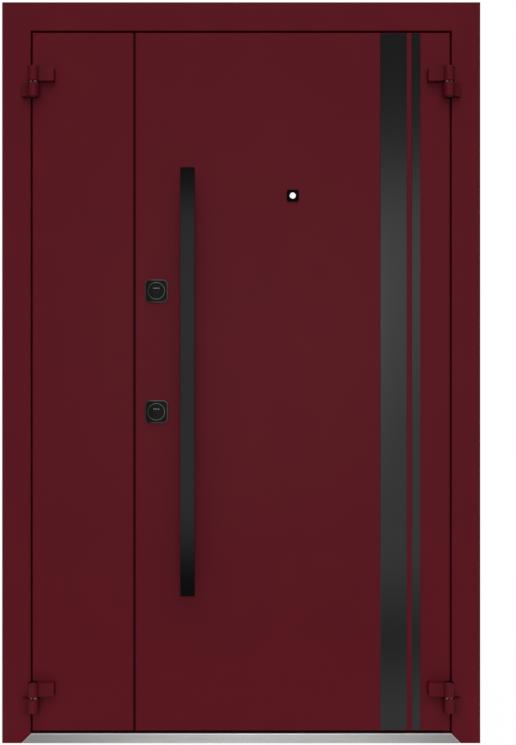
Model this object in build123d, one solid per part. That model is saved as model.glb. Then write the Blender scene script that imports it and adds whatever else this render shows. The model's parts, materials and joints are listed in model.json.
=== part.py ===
from build123d import *
import os

# Unequal double entrance door: +X to the right, -Y towards the viewer, +Z up, millimetres
# The origin is at floor level, in the middle of the width, in the plane of the wall's outer face

# Frame
face_width = 82
casing_overhang = 45
casing_depth = 12
casing_sheet = 2.5
stop_width = 22
rebate_depth = 22
frame_depth = 105
threshold_height = 27
sill_mitre_inset = 1
sill_sheet = 3
sill_return = 6
sill_round = 2.5
channel_floor = 10
channel_end = 4
sheet_bend = 2
anchor_radius = 6.5
anchor_inset = 12.5
anchor_heights = (250, 750, 1350, 1850)

# Leaves
reveal_gap = 6
bottom_gap = 9
meeting_gap = 7
side_leaf_width = 288
main_leaf_width = 900
leaf_height = 2000
flange_depth = 16
core_back = 68
leaf_depth = 80
core_inset = 24
main_edge_inset = 8
side_edge_inset = 18
panel_bevel = 3

# Seals
seal_width = 8
seal_crown = 1
seal_from_edge = 16
seal_clearance = 0.8
bead_clearance = 0.6
meeting_seal_depth = 9

# Hinges
lower_hinge_inset = 101
upper_hinge_inset = 146.5
hinge_radius = 16
hinge_standoff = 21
hinge_inset = 6.5
knuckle_length = 41
knuckle_gap = 5
knuckle_round = 1.5
knuckle_foot_round = 5
flag_depth = 26
flag_shoulder = 2
leaf_flag_length = 58
leaf_flag_end = 22
frame_flag_length = 36
frame_flag_end = 20
flag_corner = 4
flag_round = 2
flag_relief = 5
pin_radius = 7
pin_reach = 29
pin_clearance = 0.05
collar_radius = 10
end_clearance = 0.3

# Pull handles
handle_width = 40
handle_thickness = 20
handle_length = 1200
handle_bottom = 436.4
handle_standoff = 75
handle_from_edge = 152
post_radius = 11
post_inset = 150
handle_round = 1.5

# Locks
lock_heights = (950, 1295.5)
backset = 60
plate_size = 65
plate_round = 14
plate_thickness = 8
plate_edge = 3.5
ring_radius = 25.5
ring_width = 3.6
ring_height = 3
ring_round = 1.7
cylinder_head_radius = 8.5
cylinder_height = 33
cylinder_tail = 10
cylinder_recess = 1
cylinder_edge = 0.8
cylinder_clearance = 0.3
keyway_length = 17.5
keyway_height = 1.9
keyway_slot = 0.5
keyway_slot_length = 12
faceplate_width = 24
faceplate_height = 235
faceplate_thickness = 3
bolt_radius = 7
bolt_clearance = 0.4
bolt_spacing = 45

# Peephole
viewer_height = 1568.5
viewer_size = 33.5
viewer_round = 5
viewer_thickness = 5
lens_radius = 9.2
lens_rise = 2
barrel_radius = 7
barrel_wall = 2
eyepiece_radius = 15

# Decorative strips
strip_thickness = 2
strip_edge = 0.5
narrow_strip_width = 25
wide_strip_width = 76
strip_from_edge = 84
strip_gap = 14

# Flush bolts of the side leaf
flush_bolt_width = 20
flush_bolt_height = 160
flush_bolt_inset = 60
lever_border = 4
lever_clearance = 2
lever_travel = 12

# Positions that follow from the sizes above
opening_width = side_leaf_width + meeting_gap + main_leaf_width + 2 * reveal_gap
half_width = opening_width / 2 + face_width
leaf_bottom = threshold_height + bottom_gap
leaf_top = leaf_bottom + leaf_height
overall_height = leaf_top + reveal_gap + face_width
half_opening = opening_width / 2
side_left = -half_opening + reveal_gap
side_right = side_left + side_leaf_width
main_left = side_right + meeting_gap
main_right = main_left + main_leaf_width
half_reveal = half_opening - stop_width
face_y = -casing_depth
stop_y = face_y + rebate_depth
frame_back_y = face_y + frame_depth
flange_y = face_y + flange_depth
core_y = face_y + core_back
inner_y = face_y + leaf_depth
axis_y = face_y - hinge_standoff
lock_x = main_left + backset
handle_x = main_left + handle_from_edge
viewer_x = (main_left + main_right) / 2
cylinder_center = cylinder_height / 2 - cylinder_head_radius

parts = {}


def block(x0, x1, y0, y1, z0, z1):
    return Pos((x0 + x1) / 2, (y0 + y1) / 2, (z0 + z1) / 2) * Box(x1 - x0, y1 - y0, z1 - z0)


def outside(x, y, z):
    return Plane((x, y, z), x_dir=(1, 0, 0), z_dir=(0, -1, 0))


def inside(x, y, z):
    return Plane((x, y, z), x_dir=(-1, 0, 0), z_dir=(0, 1, 0))


def rod_z(radius, x, y, z0, z1):
    return Pos(x, y, (z0 + z1) / 2) * Cylinder(radius, z1 - z0)


def rod_y(radius, x, z, y0, y1):
    return Pos(x, (y0 + y1) / 2, z) * Rot(90, 0, 0) * Cylinder(radius, y1 - y0)


def rod_x(radius, y, z, x0, x1):
    return Pos((x0 + x1) / 2, y, z) * Rot(0, 90, 0) * Cylinder(radius, x1 - x0)


def upright(points):
    return Plane.XZ * make_face(Polyline(*points, close=True))


# Frame section: a filled box behind a folded casing, with the stop behind the leaf
section_points = [
    (0, 0),
    (face_width, 0),
    (face_width, rebate_depth),
    (face_width + stop_width, rebate_depth),
    (face_width + stop_width, frame_depth),
    (casing_overhang, frame_depth),
    (casing_overhang, casing_sheet),
    (casing_sheet, casing_sheet),
    (casing_sheet, casing_depth),
    (0, casing_depth),
]
section = make_face(Polyline(*section_points, close=True))
front_bends = section.vertices().group_by(Axis.Y)[0]
section = fillet(front_bends, sheet_bend)

# Corners: the head is mitred into the jambs, and the feet are mitred to the threshold's front
mitre_reach = 2 * face_width
head_area = upright([
    (-half_width, overall_height),
    (half_width, overall_height),
    (half_width - mitre_reach, overall_height - mitre_reach),
    (-half_width + mitre_reach, overall_height - mitre_reach),
])
head_cut = extrude(head_area, frame_depth * 2, both=True)
sill_top_half = half_opening - sill_mitre_inset
sill_area = upright([
    (-sill_top_half - threshold_height, 0),
    (sill_top_half + threshold_height, 0),
    (sill_top_half, threshold_height),
    (-sill_top_half, threshold_height),
])
sill_front = Pos(0, face_y + rebate_depth, 0) * extrude(sill_area, rebate_depth)

left_section = Pos(-half_width, face_y, 0) * section
left_jamb = extrude(left_section, overall_height, dir=(0, 0, 1)) - head_cut - sill_front
anchor_y = frame_back_y - anchor_inset
for height in anchor_heights:
    left_jamb -= rod_x(anchor_radius, anchor_y, height, -half_width, 0)
parts["left_jamb"] = left_jamb
parts["right_jamb"] = mirror(left_jamb, about=Plane.YZ)

head_section = Plane((-half_width, face_y, overall_height), x_dir=(0, 0, -1), z_dir=(1, 0, 0)) * section
parts["head_jamb"] = extrude(head_section, 2 * half_width, dir=(1, 0, 0)) & head_cut

# Threshold: an upstand that the leaves close against, a drain channel and a folded stainless cover
stop_top = threshold_height + stop_width
upstand = block(-half_reveal, half_reveal, stop_y, frame_back_y, 0, stop_top)
upstand_edges = upstand.edges().filter_by(Axis.X).group_by(Axis.Z)[-1]
upstand = fillet(upstand_edges, sheet_bend)
cover_front = block(-half_width, half_width, face_y, face_y + sill_sheet, 0, threshold_height)
lip_low = threshold_height - sill_sheet
cover_lip = block(-half_width, half_width, face_y, face_y + sill_return, lip_low, threshold_height)
cover_space = cover_front + cover_lip
channel_half = sill_top_half - channel_end
channel_y = face_y + sill_return
channel = block(-channel_half, channel_half, channel_y, stop_y, channel_floor, threshold_height)
parts["threshold"] = sill_front - cover_space - channel + upstand
sill_cover = sill_front & cover_space
cover_rim = sill_cover.faces().sort_by(Axis.Y)[0].edges().sort_by(Axis.Z)[1:]
parts["sill_cover"] = fillet(cover_rim, sill_round)

# Frame seal: a rounded bar on the stop, on four sides
seal_height = rebate_depth - flange_depth - seal_clearance
seal_half = half_opening - seal_from_edge
seal_low = threshold_height + seal_from_edge
seal_high = leaf_top + reveal_gap - seal_from_edge


def seal_bar(bar, along):
    edges = bar.edges().filter_by(along).group_by(Axis.Y)[0]
    return fillet(edges, (seal_width - seal_crown) / 2)


seal_y = stop_y - seal_height
seal_end = seal_half + seal_width / 2
left_bar = block(-seal_end, -seal_end + seal_width, seal_y, stop_y, seal_low, seal_high)
right_bar = block(seal_end - seal_width, seal_end, seal_y, stop_y, seal_low, seal_high)
low_bar = block(-seal_end, seal_end, seal_y, stop_y, seal_low - seal_width / 2, seal_low + seal_width / 2)
high_bar = block(-seal_end, seal_end, seal_y, stop_y, seal_high - seal_width / 2, seal_high + seal_width / 2)
frame_seal = seal_bar(left_bar, Axis.Z) + seal_bar(right_bar, Axis.Z)
frame_seal += seal_bar(low_bar, Axis.X) + seal_bar(high_bar, Axis.X)
parts["frame_seal"] = frame_seal


# Leaves: a folded outer pan, an insulated core and an inner panel
def leaf(x0, x1, inset_left, inset_right):
    pan = block(x0, x1, face_y, flange_y, leaf_bottom, leaf_top)
    pan = fillet(pan.faces().sort_by(Axis.Y)[0].edges(), sheet_bend)
    core_low = leaf_bottom + core_inset
    core_high = leaf_top - core_inset
    core = block(x0 + inset_left, x1 - inset_right, flange_y, core_y, core_low, core_high)
    panel = block(x0 + inset_left, x1 - inset_right, core_y, inner_y, core_low, core_high)
    panel = chamfer(panel.faces().sort_by(Axis.Y)[-1].edges(), panel_bevel)
    return pan, core, panel


def euro_profile(grow):
    head = Pos(0, cylinder_center) * Circle(cylinder_head_radius + grow)
    foot_center = (cylinder_tail - cylinder_height) / 2
    tail_span = cylinder_center - foot_center
    tail_middle = (cylinder_center + foot_center) / 2
    tail = Pos(0, tail_middle) * SlotCenterToCenter(tail_span, cylinder_tail + 2 * grow, rotation=90)
    return head + tail


side_pan, side_core, side_panel = leaf(side_left, side_right, core_inset, side_edge_inset)
parts["side_leaf_face"] = side_pan
parts["side_leaf_core"] = side_core
parts["side_leaf_inner_panel"] = side_panel

lock_holes = []
for height in lock_heights:
    hole = outside(lock_x, inner_y, height) * euro_profile(cylinder_clearance)
    lock_holes.append(extrude(hole, leaf_depth))
viewer_hole = rod_y(barrel_radius + cylinder_clearance, viewer_x, viewer_height, face_y, inner_y)
main_pan, main_core, main_panel = leaf(main_left, main_right, main_edge_inset, core_inset)
for hole in lock_holes + [viewer_hole]:
    main_pan -= hole
    main_core -= hole
    main_panel -= hole
parts["main_leaf_face"] = main_pan
parts["main_leaf_core"] = main_core
parts["main_leaf_inner_panel"] = main_panel

# Meeting seals: two half-round beads that face each other in the gap
bead_radius = (meeting_gap - bead_clearance) / 2
bead_y = face_y + meeting_seal_depth
side_bead = rod_z(bead_radius, side_right, bead_y, leaf_bottom, leaf_top)
side_bead -= block(side_right - bead_radius, side_right, face_y, flange_y, leaf_bottom, leaf_top)
parts["side_meeting_seal"] = side_bead
main_bead = rod_z(bead_radius, main_left, bead_y, leaf_bottom, leaf_top)
main_bead -= block(main_left, main_left + bead_radius, face_y, flange_y, leaf_bottom, leaf_top)
parts["main_meeting_seal"] = main_bead


# Hinges: the frame carries the lower knuckle and the pin, and the leaf carries the upper knuckle
def barrel(z0, z1, low_round, high_round):
    body = rod_z(hinge_radius, axis_x, axis_y, z0, z1)
    body = fillet(body.edges().filter_by(GeomType.CIRCLE).sort_by(Axis.Z)[0], low_round)
    return fillet(body.edges().filter_by(GeomType.CIRCLE).sort_by(Axis.Z)[-1], high_round)


def flag(end_x, end_depth, z0, z1):
    outline = [
        (axis_x, face_y),
        (axis_x, face_y - flag_depth),
        (end_x, face_y - end_depth),
        (end_x, face_y),
    ]
    plan = Pos(0, 0, z0) * make_face(Polyline(*outline, close=True))
    plate = extrude(plan, z1 - z0, dir=(0, 0, 1))
    side_edges = plate.edges().filter_by(Axis.Y).group_by(Axis.X)
    end_edges = side_edges[0] if end_x < axis_x else side_edges[-1]
    plate = fillet(end_edges, flag_corner)
    return fillet(plate.faces().sort_by(Axis.Y)[0].edges(), flag_round)


axis_x = side_left + hinge_inset
frame_edge = -half_opening
hinge_middles = (leaf_bottom + lower_hinge_inset, leaf_top - upper_hinge_inset)
for place, middle in zip(("lower", "upper"), hinge_middles):
    base_low = middle - knuckle_gap / 2 - knuckle_length
    base_high = middle - knuckle_gap / 2
    tip_low = middle + knuckle_gap / 2
    tip_high = tip_low + knuckle_length
    base = flag(axis_x - frame_flag_length, frame_flag_end, base_low + flag_shoulder, base_high)
    base -= block(frame_edge, axis_x, face_y - flag_relief, face_y, base_low, base_high)
    base += barrel(base_low, base_high, knuckle_foot_round, knuckle_round)
    socket_low = base_high - pin_reach
    base -= rod_z(pin_radius + pin_clearance, axis_x, axis_y, socket_low, base_high)
    pin = rod_z(pin_radius, axis_x, axis_y, socket_low, tip_low + pin_reach)
    pin += rod_z(collar_radius, axis_x, axis_y, base_high, tip_low - end_clearance)
    tip = flag(axis_x + leaf_flag_length, leaf_flag_end, tip_low, tip_high - flag_shoulder)
    tip += barrel(tip_low, tip_high, knuckle_round, knuckle_round)
    bore_high = tip_low + pin_reach + end_clearance
    tip -= rod_z(pin_radius + pin_clearance, axis_x, axis_y, tip_low, bore_high)
    for side, flip in (("left", False), ("right", True)):
        for name, piece in (("base", base), ("pin", pin), ("knuckle", tip)):
            shape = mirror(piece, about=Plane.YZ) if flip else piece
            parts[f"{side}_{place}_hinge_{name}"] = shape

# Decorative strips on the main leaf
narrow_right = main_right - strip_from_edge
narrow_left = narrow_right - narrow_strip_width
wide_right = narrow_left - strip_gap
wide_left = wide_right - wide_strip_width
strip_y = face_y - strip_thickness
for name, x0, x1 in (("wide_strip", wide_left, wide_right), ("narrow_strip", narrow_left, narrow_right)):
    strip = block(x0, x1, strip_y, face_y, leaf_bottom + sheet_bend, leaf_top - sheet_bend)
    parts[name] = chamfer(strip.faces().sort_by(Axis.Y)[0].edges(), strip_edge)


# Pull handles: a flat bar on two round posts, outside and again inside
def pull_handle(face, away):
    front = face + away * handle_standoff
    back = front - away * handle_thickness
    low, high = sorted((front, back))
    bar_x0 = handle_x - handle_width / 2
    bar_x1 = handle_x + handle_width / 2
    bar_top = handle_bottom + handle_length
    bar = block(bar_x0, bar_x1, low, high, handle_bottom, bar_top)
    bar = fillet(bar.edges(), handle_round)
    post_low, post_high = sorted((face, back))
    for height in (handle_bottom + post_inset, bar_top - post_inset):
        bar += rod_y(post_radius, handle_x, height, post_low, post_high)
    return bar


parts["pull_handle"] = pull_handle(face_y, -1)
parts["inside_pull_handle"] = pull_handle(inner_y, 1)


# Lock furniture: a rounded plate with a raised ring, and a profile cylinder through the leaf
def escutcheon(plane):
    plate = extrude(plane * RectangleRounded(plate_size, plate_size, plate_round), plate_thickness)
    front = plate.faces().sort_by(Axis(plane.origin, plane.z_dir))[-1]
    plate = fillet(front.edges(), plate_edge)
    rim = Circle(ring_radius) - Circle(ring_radius - ring_width)
    ring = extrude(plane.offset(plate_thickness) * rim, ring_height)
    crown = ring.faces().sort_by(Axis(plane.origin, plane.z_dir))[-1]
    ring = fillet(crown.edges(), ring_round)
    hole = extrude(plane * euro_profile(cylinder_clearance), plate_thickness)
    return plate + ring - hole


cylinder_front = face_y - plate_thickness + cylinder_recess
cylinder_back = inner_y + plate_thickness - cylinder_recess
keyway_shape = SlotOverall(keyway_length, keyway_height) - Rectangle(keyway_slot_length, keyway_slot)
edge_y = (flange_y + core_y) / 2
core_edge_x = main_left + main_edge_inset
faceplate_x = core_edge_x - faceplate_thickness
strike_edge_x = side_right - side_edge_inset
strike_x = strike_edge_x + faceplate_thickness
for place, height in zip(("lower", "upper"), lock_heights):
    parts[f"{place}_escutcheon"] = escutcheon(outside(lock_x, face_y, height))
    parts[f"{place}_inside_escutcheon"] = escutcheon(inside(lock_x, inner_y, height))
    profile = outside(lock_x, cylinder_back, height) * euro_profile(0)
    cylinder = extrude(profile, cylinder_back - cylinder_front)
    ends = cylinder.faces().sort_by(Axis.Y)
    parts[f"{place}_cylinder"] = fillet(ends[0].edges() + ends[-1].edges(), cylinder_edge)
    plug_height = height + cylinder_center
    keyway = extrude(outside(lock_x, cylinder_front, plug_height) * keyway_shape, cylinder_recess)
    keyway += extrude(inside(lock_x, cylinder_back, plug_height) * keyway_shape, cylinder_recess)
    parts[f"{place}_keyway"] = keyway
    plate_y0 = edge_y - faceplate_width / 2
    plate_y1 = edge_y + faceplate_width / 2
    plate_z0 = height - faceplate_height / 2
    plate_z1 = height + faceplate_height / 2
    faceplate = block(faceplate_x, core_edge_x, plate_y0, plate_y1, plate_z0, plate_z1)
    strike = block(strike_edge_x, strike_x, plate_y0, plate_y1, plate_z0, plate_z1)
    bolt_heights = (height - bolt_spacing, height, height + bolt_spacing)
    for bolt_z in bolt_heights:
        faceplate -= rod_x(bolt_radius + bolt_clearance, edge_y, bolt_z, faceplate_x, core_edge_x)
        strike -= rod_x(bolt_radius + bolt_clearance, edge_y, bolt_z, strike_edge_x, strike_x)
    for bolt_z in bolt_heights:
        faceplate += rod_x(bolt_radius, edge_y, bolt_z, faceplate_x, core_edge_x)
    parts[f"{place}_lock_faceplate"] = faceplate
    parts[f"{place}_strike"] = strike

# Flush bolts: a plate with a finger lever near each end of the side leaf's meeting edge
flush_bolt_middle = core_inset + flush_bolt_inset + flush_bolt_height / 2
for place, middle in (("lower", leaf_bottom + flush_bolt_middle), ("upper", leaf_top - flush_bolt_middle)):
    plate_y0 = edge_y - flush_bolt_width / 2
    plate_y1 = edge_y + flush_bolt_width / 2
    plate_z0 = middle - flush_bolt_height / 2
    plate_z1 = middle + flush_bolt_height / 2
    bolt = block(strike_edge_x, strike_x, plate_y0, plate_y1, plate_z0, plate_z1)
    finger_z0 = middle - flush_bolt_height / 4
    finger_z1 = middle + flush_bolt_height / 4
    recess_x = strike_edge_x + faceplate_thickness / 3
    recess_y0 = plate_y0 + lever_border
    recess_y1 = plate_y1 - lever_border
    bolt -= block(recess_x, strike_x, recess_y0, recess_y1, finger_z0, finger_z1)
    lever_y0 = recess_y0 + lever_clearance
    lever_y1 = recess_y1 - lever_clearance
    lever_z0 = finger_z0 + lever_travel
    lever_z1 = finger_z1 - lever_clearance
    bolt += block(recess_x, strike_x, lever_y0, lever_y1, lever_z0, lever_z1)
    parts[f"{place}_flush_bolt"] = bolt

# Peephole: a square bezel with a lens, on a barrel that ends in an eyepiece inside
bezel_plane = outside(viewer_x, face_y, viewer_height)
bezel_shape = RectangleRounded(viewer_size, viewer_size, viewer_round)
bezel_shape -= Circle(lens_radius + cylinder_clearance)
parts["peephole_bezel"] = extrude(bezel_plane * bezel_shape, viewer_thickness)
lens = extrude(bezel_plane * Circle(lens_radius), viewer_thickness)
parts["peephole_lens"] = fillet(lens.faces().sort_by(Axis.Y)[0].edges(), lens_rise)
eyepiece = rod_y(barrel_radius, viewer_x, viewer_height, face_y, inner_y)
eyepiece += extrude(inside(viewer_x, inner_y, viewer_height) * Circle(eyepiece_radius), viewer_thickness)
sight_y = inner_y + viewer_thickness
sight = rod_y(barrel_radius - barrel_wall, viewer_x, viewer_height, face_y + barrel_wall, sight_y)
parts["peephole_eyepiece"] = eyepiece - sight

# One file for each named piece
os.makedirs("parts", exist_ok=True)
for node, shape in parts.items():
    export_step(shape, f"parts/{node}.step")
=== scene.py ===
import bpy
import bmesh
import json
import math
from mathutils import Matrix, Vector


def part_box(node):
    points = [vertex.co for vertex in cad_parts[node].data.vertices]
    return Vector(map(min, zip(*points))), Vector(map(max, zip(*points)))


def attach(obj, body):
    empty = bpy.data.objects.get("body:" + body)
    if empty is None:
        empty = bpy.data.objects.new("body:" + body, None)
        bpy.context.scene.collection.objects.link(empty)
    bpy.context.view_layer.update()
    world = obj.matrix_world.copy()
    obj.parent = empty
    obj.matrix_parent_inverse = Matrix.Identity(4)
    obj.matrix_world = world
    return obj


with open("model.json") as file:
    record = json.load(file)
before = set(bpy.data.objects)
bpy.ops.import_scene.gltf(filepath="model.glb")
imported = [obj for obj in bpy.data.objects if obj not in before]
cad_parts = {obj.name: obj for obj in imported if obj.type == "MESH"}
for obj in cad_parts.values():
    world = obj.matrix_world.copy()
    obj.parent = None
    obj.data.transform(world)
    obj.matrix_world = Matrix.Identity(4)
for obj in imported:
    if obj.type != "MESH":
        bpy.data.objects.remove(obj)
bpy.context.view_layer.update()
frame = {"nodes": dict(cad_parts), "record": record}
nodes = frame["nodes"]
scene = bpy.context.scene
scene.view_settings.view_transform = "Standard"

# Colours, linear
BURGUNDY = (0.094, 0.0058, 0.0116)
STAINLESS = (0.51, 0.51, 0.515)
STAINLESS_RIM_HIGHLIGHT = (0.95, 0.95, 0.95)
EDGE_STEEL = (0.36, 0.36, 0.365)
HINGE_STEEL = (0.05, 0.05, 0.048)
HINGE_STEEL_DARK, HINGE_STEEL_LIGHT = (0.042, 0.042, 0.04), (0.06, 0.06, 0.057)
COLLAR = (0.03, 0.03, 0.03)
COLLAR_DARK, COLLAR_LIGHT = (0.02, 0.02, 0.02), (0.04, 0.04, 0.04)
COLLAR_SIDE_HIGHLIGHT = (0.3, 0.3, 0.29)
STRIP = (0.0055, 0.0055, 0.0055)
STRIP_DARK, STRIP_LIGHT = (0.0053, 0.0053, 0.0053), (0.0058, 0.0058, 0.0058)
HANDLE = (0.019, 0.019, 0.019)
BEZEL = (0.0015, 0.0008, 0.0009)
LOCK = (0.0045, 0.005, 0.0053)
LOCK_RIM_HIGHLIGHT = (0.1, 0.1, 0.097)
LOCK_CREST_HIGHLIGHT = (0.12, 0.12, 0.117)
NICKEL = (0.14, 0.14, 0.137)
NICKEL_DARK, NICKEL_LIGHT = (0.12, 0.12, 0.117), (0.17, 0.17, 0.166)
RUBBER = (0.034, 0.003, 0.006)
RUBBER_DARK, RUBBER_LIGHT = (0.03, 0.0027, 0.0054), (0.038, 0.0034, 0.0067)
LENS = (0.97, 0.97, 0.97)
LENS_DARK, LENS_LIGHT = (0.95, 0.95, 0.95), (0.98, 0.98, 0.98)
FLOOR = (0.8, 0.8, 0.8)
BLACK, WHITE = (0, 0, 0), (1, 1, 1)

# Range of a noise that is spread over a whole colour or roughness range
NOISE_LOW, NOISE_HIGH = 0.3, 0.7

# Tones: places from 0 to 1 along a piece, and the level there. On the hinges, threshold, sill,
# handle and lock they are painted shade, painted highlight and painted reflection; the floor bands
# are painted light and shade; the room tone is the studio's light.
HINGE_PAINTED_SIDE_SHADE = ((0, 1), (0.016, 0.97), (0.067, 0.91), (0.165, 0.86), (0.317, 0.83), (0.6, 0.82),
                  (1, 0.95))
HINGE_PAINTED_CORNER_SHADE = ((0, 0.98), (0.15, 0.94), (0.3, 0.85), (0.42, 0.76), (0.48, 0.92), (0.54, 1),
                (0.68, 1), (0.74, 0.72), (0.8, 0.6), (0.87, 0.72), (0.93, 0.84), (1, 0.84))
HINGE_FROM, HINGE_TO = 0.53, 0.63
DRAIN_PAINTED_SHADE = ((0, 0.25), (0.75, 0.25), (1, 1))
DRAIN_FRONT, DRAIN_BACK = -0.012, 0.02
SILL_PAINTED_REFLECTION = ((0, 0.74), (0.13, 0.84), (0.26, 0.97), (0.41, 0.95), (0.59, 0.9), (0.77, 1),
             (0.9, 0.91), (1, 0.76))
SILL_HALF = 0.63
SILL_TOP_PAINTED_SHADE = ((0.45, 1), (0.65, 0.92), (0.8, 0.55), (1, 0.42))
SILL_TOP_DEPTH = 0.004
HANDLE_PAINTED_REFLECTION = ((0, 0.05), (0.045, 0.1), (0.093, 0.36), (0.13, 0.65), (0.177, 0.89), (0.224, 1),
               (0.457, 0.87), (0.597, 0.84), (0.83, 0.92), (0.877, 0.82), (0.924, 0.5),
               (0.961, 0.22), (1, 0.06))
LOCK_PAINTED_SIDE_SHADE = ((0, 0.5), (0.1, 0.35), (0.2, 0.5), (0.4, 1))
RING_FROM, RING_TO = 0.02, 0.03
RING_PAINTED_FLANK_SHADE = ((0.13, 1), (0.18, 0.1), (0.57, 0.1), (0.62, 1))
RING_PAINTED_CREST_HIGHLIGHT = ((0.27, 0), (0.3, 1), (0.44, 1), (0.47, 0))
FLOOR_PAINTED_LIGHT_BANDS = ((0.0, 0.54), (0.05, 0.7), (0.07, 0.76), (0.55, 0.54), (0.7, 0.52), (0.81, 0.36),
               (0.885, 0.17), (0.94, 0.52), (0.98, 0.78), (1.0, 0.76))
FLOOR_BAND_REACH = 10
ROOM_TONE = ((0.0, 0.76), (0.03, 0.98), (0.07, 1.04), (0.15, 1.22), (0.165, 0.94), (0.199, 0.4),
             (0.234, 0.11), (0.35, 0.1), (0.6, 0.6), (0.85, 1.7))


def tint(color, factor):
    return tuple(c * factor for c in color)


def greys(stops):
    return [(place, (level, level, level)) for place, level in stops]


class Nodes:
    """Short calls that add and join the nodes of one tree."""

    def __init__(self, tree):
        self.tree = tree

    def node(self, kind, **values):
        node = self.tree.nodes.new(kind)
        for key, value in values.items():
            setattr(node, key, value)
        return node

    def link(self, source, target):
        self.tree.links.new(source, target)

    def calc(self, operation, *values):
        """A Math node whose values are sockets or numbers."""
        node = self.node("ShaderNodeMath", operation=operation)
        for socket, value in zip(node.inputs, values):
            if isinstance(value, bpy.types.NodeSocket):
                self.link(value, socket)
            else:
                socket.default_value = value
        return node.outputs["Value"]

    def part(self, vector, axis):
        split = self.node("ShaderNodeSeparateXYZ")
        self.link(vector, split.inputs["Vector"])
        return split.outputs[axis]

    def length(self, vector):
        node = self.node("ShaderNodeVectorMath", operation="LENGTH")
        self.link(vector, node.inputs[0])
        return node.outputs["Value"]

    def remap(self, value, low, high, to_low=0.0, to_high=1.0, curve="LINEAR"):
        node = self.node("ShaderNodeMapRange", interpolation_type=curve)
        node.inputs["From Min"].default_value = low
        node.inputs["From Max"].default_value = high
        node.inputs["To Min"].default_value = to_low
        node.inputs["To Max"].default_value = to_high
        self.link(value, node.inputs["Value"])
        return node.outputs["Result"]

    def ramp(self, fac, stops):
        node = self.node("ShaderNodeValToRGB")
        elements = node.color_ramp.elements
        while len(elements) < len(stops):
            elements.new(0.5)
        for element, (position, color) in zip(elements, stops):
            element.position = position
            element.color = (*color, 1)
        self.link(fac, node.inputs["Fac"])
        return node.outputs["Color"]

    def mix_shaders(self, fac, first, second, output):
        """Sends a mix of two shaders to the Surface of the tree's output node."""
        mix = self.node("ShaderNodeMixShader")
        for source, socket in zip((fac, first, second), mix.inputs):
            self.link(source, socket)
        self.link(mix.outputs["Shader"], self.tree.nodes[output].inputs["Surface"])


# Materials
class Shader(Nodes):
    """A material with one Principled shader, and calls that add what a finish needs."""

    def __init__(self, name, color, roughness, metallic=0.0):
        self.material = bpy.data.materials.new(name)
        self.material.use_nodes = True
        super().__init__(self.material.node_tree)
        self.bsdf = self.tree.nodes["Principled BSDF"]
        self.set("Base Color", (*color, 1))
        self.set("Roughness", roughness)
        self.set("Metallic", metallic)
        source = self.node("ShaderNodeTexCoord")
        self.coord = source.outputs["Object"]
        self.normal = source.outputs["Normal"]

    def set(self, socket, value):
        self.bsdf.inputs[socket].default_value = value

    def noise(self, scale, stretch=(1, 1, 1), detail=4):
        mapping = self.node("ShaderNodeMapping")
        mapping.inputs["Scale"].default_value = stretch
        self.link(self.coord, mapping.inputs["Vector"])
        noise = self.node("ShaderNodeTexNoise")
        noise.inputs["Scale"].default_value = scale
        noise.inputs["Detail"].default_value = detail
        noise.inputs["Roughness"].default_value = 0.55
        self.link(mapping.outputs["Vector"], noise.inputs["Vector"])
        return noise.outputs["Fac"]

    def vary_color(self, fac, dark, light):
        self.color_from(self.ramp(fac, ((NOISE_LOW, dark), (NOISE_HIGH, light))))

    def vary_roughness(self, fac, low, high):
        rough = self.remap(fac, NOISE_LOW, NOISE_HIGH, low, high)
        self.link(rough, self.bsdf.inputs["Roughness"])

    def bump(self, fac, strength, distance):
        bump = self.node("ShaderNodeBump")
        bump.inputs["Strength"].default_value = strength
        bump.inputs["Distance"].default_value = distance
        self.link(fac, bump.inputs["Height"])
        self.link(bump.outputs["Normal"], self.bsdf.inputs["Normal"])

    def color_from(self, source):
        self.link(source, self.bsdf.inputs["Base Color"])

    def mix_color(self, **values):
        """A mix whose first colour is what the base colour is now, and which takes its place."""
        mix = self.node("ShaderNodeMixRGB", **values)
        self.link(self.bsdf.inputs["Base Color"].links[0].from_socket, mix.inputs["Color1"])
        self.color_from(mix.outputs["Color"])
        return mix.inputs

    def shade(self, fac, stops):
        """Multiplies the colour by levels set along fac."""
        inputs = self.mix_color(blend_type="MULTIPLY")
        inputs["Fac"].default_value = 1
        self.link(self.ramp(fac, greys(stops)), inputs["Color2"])

    def overlay(self, fac, color):
        """Lays a colour over the base colour where fac is 1."""
        inputs = self.mix_color()
        inputs["Color2"].default_value = (*color, 1)
        self.link(fac, inputs["Fac"])

    def along(self, axis, low, high, mirrored=False):
        """0 to 1 from low to high along an axis of the part, or of its two mirrored halves."""
        value = self.part(self.coord, axis)
        if mirrored:
            value = self.calc("ABSOLUTE", value)
        return self.remap(value, low, high)

    def radius(self, x, heights, low, high):
        """0 to 1 from low to high away from the nearer of two points at x, in the door's plane."""
        middle = sum(heights) / 2
        half = abs(heights[1] - heights[0]) / 2
        across = self.calc("SUBTRACT", self.part(self.coord, "X"), x)
        upright = self.calc("SUBTRACT", self.part(self.coord, "Z"), middle)
        upright = self.calc("SUBTRACT", self.calc("ABSOLUTE", upright), half)
        flat = self.node("ShaderNodeCombineXYZ")
        self.link(across, flat.inputs["X"])
        self.link(upright, flat.inputs["Z"])
        return self.remap(self.length(flat.outputs["Vector"]), low, high)

    def turn(self):
        """How far the surface turns away from the door's faces: 0 on a face, 1 on a side."""
        return self.calc("SUBTRACT", 1.0, self.calc("ABSOLUTE", self.part(self.normal, "Y")))

    def paint_rim_highlight(self, edge, start=0.015, end=0.17):
        """Paints a highlight colour on what turns away from the door's two faces: rounded rims and
        sides.
        """
        rim = self.ramp(self.turn(), ((start, BLACK), (end, WHITE)))
        self.overlay(rim, edge)
        return rim

    def dull_metal(self, rim, metallic):
        self.link(self.remap(rim, 0.0, 1.0, 1.0, metallic), self.bsdf.inputs["Metallic"])


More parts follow.
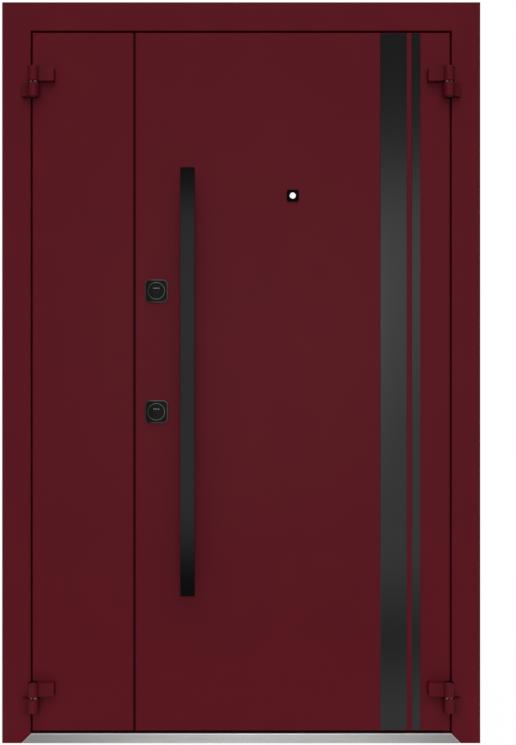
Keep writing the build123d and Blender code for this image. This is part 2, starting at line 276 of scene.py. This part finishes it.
def powder_coat(name, color, rough, grain, depth, shine):
    """Sprayed and baked paint: fine orange peel, and a broad faint unevenness of the coat."""
    s = Shader(name, color, rough)
    s.set("Specular IOR Level", shine)
    s.vary_color(s.noise(5, detail=6), tint(color, 0.965), tint(color, 1.035))
    s.vary_roughness(s.noise(grain * 0.4), rough - 0.05, rough + 0.05)
    s.bump(s.noise(grain, detail=2), strength=0.12, distance=depth)
    return s


def brushed(name, color, rough, along):
    """Metal with fine grinding lines along one axis."""
    s = Shader(name, color, rough, 1.0)
    stretch = [1, 1, 1]
    stretch[along] = 0.006
    lines = s.noise(900, stretch, detail=5)
    s.vary_color(lines, tint(color, 0.93), tint(color, 1.06))
    s.vary_roughness(lines, rough - 0.07, rough + 0.09)
    s.bump(lines, strength=0.1, distance=0.0002)
    s.set("Anisotropic", 0.8)
    across = s.node("ShaderNodeTangent", direction_type="RADIAL", axis="XYZ"[along])
    s.link(across.outputs["Tangent"], s.bsdf.inputs["Tangent"])
    return s


def turned_steel(name, color, rough, dark, light):
    """Metal with fine lines around an upright axis, and the noise that draws them."""
    s = Shader(name, color, rough, 1.0)
    lines = s.noise(1500, (0.01, 0.01, 1), detail=3)
    s.vary_color(lines, dark, light)
    return s, lines


paint = powder_coat("burgundy_powder_coat", BURGUNDY, rough=0.46, grain=900,
                    depth=0.0004, shine=0.06)
# A copy of the burgundy coat with painted shade: darker on the hinges' rounded sides and where the
# flags meet the barrels.
hinge_coat_with_painted_shade = powder_coat("burgundy_hinge_coat_painted_shade", BURGUNDY, rough=0.46, grain=900,
                          depth=0.0004, shine=0.06)
hinge_coat_with_painted_shade.shade(hinge_coat_with_painted_shade.turn(), HINGE_PAINTED_SIDE_SHADE)
hinge_coat_with_painted_shade.shade(hinge_coat_with_painted_shade.along("X", HINGE_FROM, HINGE_TO, mirrored=True), HINGE_PAINTED_CORNER_SHADE)
panel_paint = powder_coat("burgundy_panel_paint", BURGUNDY, rough=0.5, grain=600,
                          depth=0.0005, shine=0.08)
# A copy of the burgundy coat with painted shade: darker on the threshold's front part, in the
# channel under the leaves.
threshold_coat_with_painted_shade = powder_coat("burgundy_threshold_painted_shade", BURGUNDY, rough=0.5, grain=900,
                          depth=0.0004, shine=0.06)
threshold_coat_with_painted_shade.shade(threshold_coat_with_painted_shade.along("Y", DRAIN_FRONT, DRAIN_BACK), DRAIN_PAINTED_SHADE)

sill_steel = brushed("brushed_stainless", STAINLESS, rough=0.36, along=0)
# Painted reflection: the cover is darker towards both ends, with brighter humps between them.
sill_steel.shade(sill_steel.along("X", -SILL_HALF, SILL_HALF), SILL_PAINTED_REFLECTION)
# Painted highlight on the cover's rounded rims and mitred ends, where the steel is also made less
# metallic.
sill_steel.dull_metal(sill_steel.paint_rim_highlight(STAINLESS_RIM_HIGHLIGHT), 0.25)
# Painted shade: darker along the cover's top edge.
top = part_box("sill_cover")[1][2]
sill_steel.shade(sill_steel.along("Z", top - SILL_TOP_DEPTH, top), SILL_TOP_PAINTED_SHADE)
edge_steel = brushed("brushed_edge_steel", EDGE_STEEL, rough=0.32, along=2)

pin_steel, rings = turned_steel("burnished_hinge_steel", HINGE_STEEL, 0.22, HINGE_STEEL_DARK,
                                HINGE_STEEL_LIGHT)
pin_steel.vary_roughness(rings, 0.17, 0.3)
collar_steel, _ = turned_steel("bright_collar_steel", COLLAR, 0.25, COLLAR_DARK, COLLAR_LIGHT)
# Painted highlight on the collars' rounded sides, where the steel is also made less metallic.
collar_steel.dull_metal(collar_steel.paint_rim_highlight(COLLAR_SIDE_HIGHLIGHT, 0.03, 0.12), 0.2)

strip_black = Shader("black_strip_lacquer", STRIP, 0.16)
grain = strip_black.noise(1100, (1, 1, 0.008), detail=5)
strip_black.vary_color(grain, STRIP_DARK, STRIP_LIGHT)
strip_black.vary_roughness(grain, 0.14, 0.19)
strip_black.bump(grain, strength=0.02, distance=0.0001)

handle_black = powder_coat("black_handle_coat", HANDLE, rough=0.34, grain=1500,
                           depth=0.0002, shine=0.05)
low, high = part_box("pull_handle")
# Painted reflection: the handle is darker towards both ends and lighter along its middle.
handle_black.shade(handle_black.along("Z", low[2], high[2]), HANDLE_PAINTED_REFLECTION)

bezel_black = powder_coat("black_bezel_coat", BEZEL, rough=0.4, grain=1800,
                          depth=0.0002, shine=0.02)

lock_black = powder_coat("black_lock_coat", LOCK, rough=0.36, grain=1800, depth=0.0002, shine=0.055)
# Painted highlight on the plates' rounded rims and on the ring's sides.
lock_black.paint_rim_highlight(LOCK_RIM_HIGHLIGHT)
plates = [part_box(f"{place}_escutcheon") for place in ("lower", "upper")]
(left, _, _), (right, _, _) = plates[0]
heights = [(low[2] + high[2]) / 2 for low, high in plates]
ring = lock_black.radius((left + right) / 2, heights, RING_FROM, RING_TO)
# Painted shade on the flanks of the ring around each cylinder.
lock_black.shade(ring, RING_PAINTED_FLANK_SHADE)
# Painted highlight along the crest of the ring around each cylinder.
lock_black.overlay(lock_black.ramp(ring, greys(RING_PAINTED_CREST_HIGHLIGHT)), LOCK_CREST_HIGHLIGHT)
# Painted shade: the plates' left sides, rims and ring are darker.
lock_black.shade(lock_black.along("X", left, right), LOCK_PAINTED_SIDE_SHADE)

nickel = Shader("nickel_keyway", NICKEL, 0.3, 1.0)
wear = nickel.noise(2500, (0.05, 1, 1))
nickel.vary_color(wear, NICKEL_DARK, NICKEL_LIGHT)
nickel.vary_roughness(wear, 0.22, 0.4)

rubber = Shader("dark_seal_rubber", RUBBER, 0.72)
rubber.set("Specular IOR Level", 0.08)
skin = rubber.noise(1600)
rubber.vary_color(skin, RUBBER_DARK, RUBBER_LIGHT)
rubber.vary_roughness(skin, 0.62, 0.82)
rubber.bump(skin, strength=0.2, distance=0.0002)

lens_glass = Shader("pale_lens", LENS, 0.06)
lens_glass.vary_color(lens_glass.noise(120), LENS_DARK, LENS_LIGHT)
lens_glass.set("Coat Weight", 1.0)
lens_glass.set("Coat Roughness", 0.03)

by_slot = {
    "burgundy_paint": paint,
    "inner_panel_paint": panel_paint,
    "stainless_sill": sill_steel,
    "hinge_steel": pin_steel,
    "black_strip": strip_black,
    "black_handle": handle_black,
    "black_lock": lock_black,
    "nickel_keyway": nickel,
    "edge_steel": edge_steel,
    "seal_rubber": rubber,
    "peephole_glass": lens_glass,
}
by_node = {
    "threshold": threshold_coat_with_painted_shade,
    "peephole_bezel": bezel_black,
    "peephole_eyepiece": bezel_black,
}
for side in ("left", "right"):
    for place in ("lower", "upper"):
        by_node[f"{side}_{place}_hinge_base"] = hinge_coat_with_painted_shade
        by_node[f"{side}_{place}_hinge_knuckle"] = hinge_coat_with_painted_shade
        by_node[f"{side}_{place}_hinge_pin"] = collar_steel
for part in frame["record"]["subparts"]:
    obj = nodes[part["node"]]
    obj.data.materials.clear()
    look = by_node.get(part["node"], by_slot[part["material_slot"]])
    obj.data.materials.append(look.material)


# Meshes
def finish_mesh(name, bm, material, body):
    mesh = bpy.data.meshes.new(name)
    bmesh.ops.recalc_face_normals(bm, faces=bm.faces)
    bm.to_mesh(mesh)
    bm.free()
    obj = bpy.data.objects.new(name, mesh)
    scene.collection.objects.link(obj)
    mesh.materials.append(material.material)
    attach(obj, body)


def pairs(loop):
    """Each corner of a closed loop with the next one."""
    return list(zip(loop, loop[1:] + loop[:1]))


def band(bm, low, high):
    """Faces between two closed loops of corners."""
    for (a, b), (c, d) in zip(pairs(low), pairs(high)):
        bm.faces.new((a, b, d, c))


def turned(bm, place, profile, corners):
    """A ring of corners for each radius and height of the profile, with faces between them."""
    angles = [2 * math.pi * k / corners for k in range(corners)]
    loops = [[bm.verts.new(place @ Vector((r * math.cos(a), r * math.sin(a), z))) for a in angles]
             for r, z in profile]
    for low, high in zip(loops, loops[1:]):
        band(bm, low, high)
    return loops


# Small fasteners
SCREW_RADIUS = 0.0042
SCREW_RISE = 0.0006
SCREW_INSET = 0.012
SCREW_CORNERS = 24
RECESS_FLOOR = 0.0001


def screw_head(bm, center, normal):
    """A raised countersunk head with a cross recess, on a plate whose outward side is normal."""
    facing = Vector(normal).to_track_quat("Z", "Y").to_matrix().to_4x4()
    place = Matrix.Translation(center) @ facing
    radius = SCREW_RADIUS
    profile = ((radius, 0.0), (radius * 0.97, SCREW_RISE * 0.5), (radius * 0.8, SCREW_RISE))
    loops = turned(bm, place, profile, SCREW_CORNERS)
    arm, half = radius * 0.55, radius * 0.11
    cross = ((half, half), (half, arm), (-half, arm), (-half, half), (-arm, half), (-arm, -half),
             (-half, -half), (-half, -arm), (half, -arm), (half, -half), (arm, -half), (arm, half))
    top = [bm.verts.new(place @ Vector((x, y, SCREW_RISE))) for x, y in cross]
    bottom = [bm.verts.new(place @ Vector((x, y, RECESS_FLOOR))) for x, y in cross]
    edges = [bm.edges.new(pair) for pair in pairs(top)]
    edges += [bm.edges.get(pair) for pair in pairs(loops[-1])]
    bmesh.ops.triangle_fill(bm, edges=edges, use_beauty=True)
    band(bm, top, bottom)
    bm.faces.new(bottom)
    bm.faces.new(loops[0][::-1])


for node, side, body in (("lower_lock_faceplate", -1, "main_leaf"),
                         ("upper_lock_faceplate", -1, "main_leaf"),
                         ("lower_strike", 1, "side_leaf"), ("upper_strike", 1, "side_leaf"),
                         ("lower_flush_bolt", 1, "side_leaf"),
                         ("upper_flush_bolt", 1, "side_leaf")):
    low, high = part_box(node)
    face = low[0] if side < 0 else high[0]
    middle = (low[1] + high[1]) / 2
    bm = bmesh.new()
    for z in (low[2] + SCREW_INSET, high[2] - SCREW_INSET):
        screw_head(bm, (face, middle, z), (side, 0, 0))
    finish_mesh(node + "_screws", bm, edge_steel, body)

# Caps in the outer ends of the hinge knuckles
TIP_CAP_RADIUS = 0.0122
FOOT_CAP_RADIUS = 0.0092
CAP_CORNERS = 32
CAP_WALL = 0.0007
CAP_ROUND = 0.0006
CAP_HEIGHTS = (0.0013, 0.0016, 0.0017)


def cap(bm, center, up, radius):
    """A shallow domed disc with a rounded rim, on the flat end of a barrel."""
    radii = (radius - CAP_ROUND, radius * 0.6, radius * 0.25)
    profile = [(radius, 0.0), (radius, up * CAP_WALL)]
    profile += [(r, up * z) for r, z in zip(radii, CAP_HEIGHTS)]
    loops = turned(bm, Matrix.Translation(center), profile, CAP_CORNERS)
    bm.faces.new(loops[-1])
    bm.faces.new(loops[0][::-1])


for body, side in (("side_leaf", "left"), ("main_leaf", "right")):
    tips = bmesh.new()
    feet = bmesh.new()
    for place in ("lower", "upper"):
        low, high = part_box(f"{side}_{place}_hinge_pin")
        x, y = (low[0] + high[0]) / 2, (low[1] + high[1]) / 2
        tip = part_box(f"{side}_{place}_hinge_knuckle")[1][2]
        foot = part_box(f"{side}_{place}_hinge_base")[0][2]
        cap(tips, (x, y, tip), 1, TIP_CAP_RADIUS)
        cap(feet, (x, y, foot), -1, FOOT_CAP_RADIUS)
    finish_mesh(f"{side}_knuckle_caps", tips, pin_steel, body)
    finish_mesh(f"{side}_foot_caps", feet, pin_steel, "frame")

# Lip of the meeting seal: closes the slit between the two beads
LIP_OVERLAP = 0.00002
LIP_ROOT_INSET = 0.0004
LIP_ROOT_HALF = 0.0012
LIP_TIP_HALF = 0.0008
low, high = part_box("main_meeting_seal")
root = low[0] + LIP_ROOT_INSET
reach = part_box("side_meeting_seal")[1][0] + LIP_OVERLAP
middle = (low[1] + high[1]) / 2
outline = ((root, middle - LIP_ROOT_HALF), (reach, middle - LIP_TIP_HALF),
           (reach, middle + LIP_TIP_HALF), (root, middle + LIP_ROOT_HALF))
lip = bmesh.new()
foot, head = ([lip.verts.new((x, y, z)) for x, y in outline] for z in (low[2], high[2]))
band(lip, foot, head)
lip.faces.new(foot)
lip.faces.new(head[::-1])
finish_mesh("meeting_seal_lip", lip, rubber, "main_leaf")

# Floor: white to the camera with a faint shadow near the door, and with painted bands of light and
# shade along its depth, seen in reflections
FLOOR_SIZE = 60
FADE_FROM, FADE_TO = 0.5, 1.6
NEAR_WHITE, FAR_WHITE = 0.9, 1.0
bpy.ops.mesh.primitive_plane_add(size=FLOOR_SIZE, location=(0, 0, 0))
floor = bpy.context.object
floor.name = "floor"
ground = Shader("pale_floor", FLOOR, 0.9)
ground.set("Specular IOR Level", 0.1)
ground.color_from(ground.ramp(ground.along("Y", -FLOOR_BAND_REACH, 0), greys(FLOOR_PAINTED_LIGHT_BANDS)))
fade = ground.remap(ground.length(ground.coord), FADE_FROM, FADE_TO, NEAR_WHITE, FAR_WHITE,
                    "SMOOTHSTEP")
path = ground.node("ShaderNodeLightPath")
share = ground.calc("MULTIPLY", path.outputs["Is Camera Ray"], fade)
glow = ground.node("ShaderNodeEmission")
ground.mix_shaders(share, ground.bsdf.outputs["BSDF"], glow.outputs["Emission"], "Material Output")
floor.data.materials.append(ground.material)

# Surroundings: white to the camera and through glass, and to everything else a band of light at
# eye level under a dim ring and a bright top, darker to the sides
DIM_FROM, DIM_TO = 0.3, 0.85
MIDDLE_STRENGTH, SIDE_STRENGTH = 1.0, 0.2
world = bpy.data.worlds.new("studio")
scene.world = world
world.use_nodes = True
studio = Nodes(world.node_tree)
around = studio.node("ShaderNodeTexCoord").outputs["Generated"]
room = studio.tree.nodes["Background"]
height = studio.remap(studio.part(around, "Z"), 0.0, 1.0)
studio.link(studio.ramp(height, greys(ROOM_TONE)), room.inputs["Color"])
aside = studio.calc("ABSOLUTE", studio.part(around, "X"))
dim = studio.remap(aside, DIM_FROM, DIM_TO, MIDDLE_STRENGTH, SIDE_STRENGTH)
studio.link(dim, room.inputs["Strength"])
white = studio.node("ShaderNodeBackground")
white.inputs["Color"].default_value = (*WHITE, 1)
path = studio.node("ShaderNodeLightPath")
seen = studio.calc("MAXIMUM", path.outputs["Is Camera Ray"], path.outputs["Is Transmission Ray"])
studio.mix_shaders(seen, room.outputs["Background"], white.outputs["Background"], "World Output")


# Lamps
def softbox(name, location, aim, width, height, power):
    lamp = bpy.data.lights.new(name, "AREA")
    lamp.shape = "RECTANGLE"
    lamp.size = width
    lamp.size_y = height
    lamp.energy = power
    obj = bpy.data.objects.new(name, lamp)
    obj.location = location
    obj.rotation_euler = (Vector(aim) - Vector(location)).to_track_quat("-Z", "Y").to_euler()
    scene.collection.objects.link(obj)


sun = bpy.data.lights.new("sky", "SUN")
sun.energy = 1.18
sun.angle = math.radians(60)
sky = bpy.data.objects.new("sky", sun)
sky.rotation_euler = (math.radians(48), 0, 0)
sky.visible_glossy = False
scene.collection.objects.link(sky)
softbox("low", (0.1, -4.2, 1.2), (0, 0, 0.3), width=1.0, height=1.6, power=30)
softbox("back", (0.0, 4.5, 3.0), (0, 0, 1.0), width=4.0, height=3.0, power=130)

# Camera at the photograph's place: level, on the door's middle, three metres off
camera_data = bpy.data.cameras.new("camera")
camera_data.sensor_width = 36
camera_data.lens = 50.65
camera_data.shift_x = 0.02255
camera = bpy.data.objects.new("camera", camera_data)
camera.location = (0, -3.016, 1.0623)
camera.rotation_euler = (math.radians(90), 0, 0)
scene.collection.objects.link(camera)
scene.camera = camera
